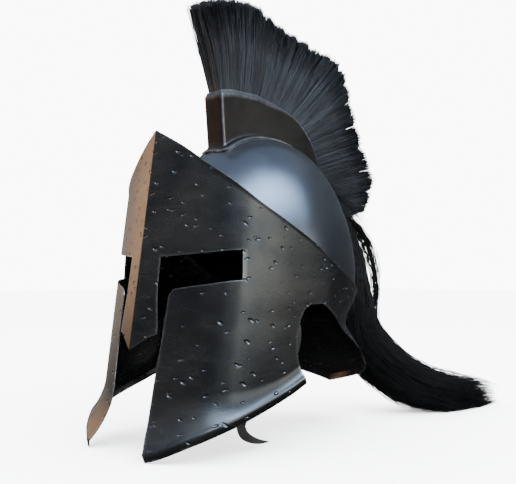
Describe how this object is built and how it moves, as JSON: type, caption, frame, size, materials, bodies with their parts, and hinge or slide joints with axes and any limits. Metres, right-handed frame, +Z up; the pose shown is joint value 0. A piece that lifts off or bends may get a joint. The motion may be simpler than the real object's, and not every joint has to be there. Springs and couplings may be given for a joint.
{
  "type": "spartan helmet",
  "caption": "Crested steel helmet with a T-shaped face opening, flared neck guard, upright hair crest, long hair tail and leather chin strap.",
  "frame": {"origin": "middle of the footprint's bounding box, on the table that the helmet stands on", "axes": "+Z up, -Y out of the face, +X towards the wearer's left"},
  "size_m": [0.2326, 0.5681, 0.4851],
  "materials": {
    "blackened_steel": "blackened, polished, with small dents",
    "blued_steel": "smooth, blued, satin",
    "dark_steel": "dark satin with paler edges",
    "black_hair": "black hair with a soft sheen",
    "brown_leather": "dark brown, dull"
  },
  "bodies": {
    "root": {"skull_dome": "blued_steel", "face_mask": "blackened_steel", "crest_box": "dark_steel", "crest_plume": "black_hair", "tail_plume": "black_hair", "chin_strap_left": "brown_leather", "chin_strap_right": "brown_leather", "strap_buckle": "dark_steel", "strap_rivet_left": "dark_steel", "strap_rivet_right": "dark_steel"}
  },
  "joints": []
}
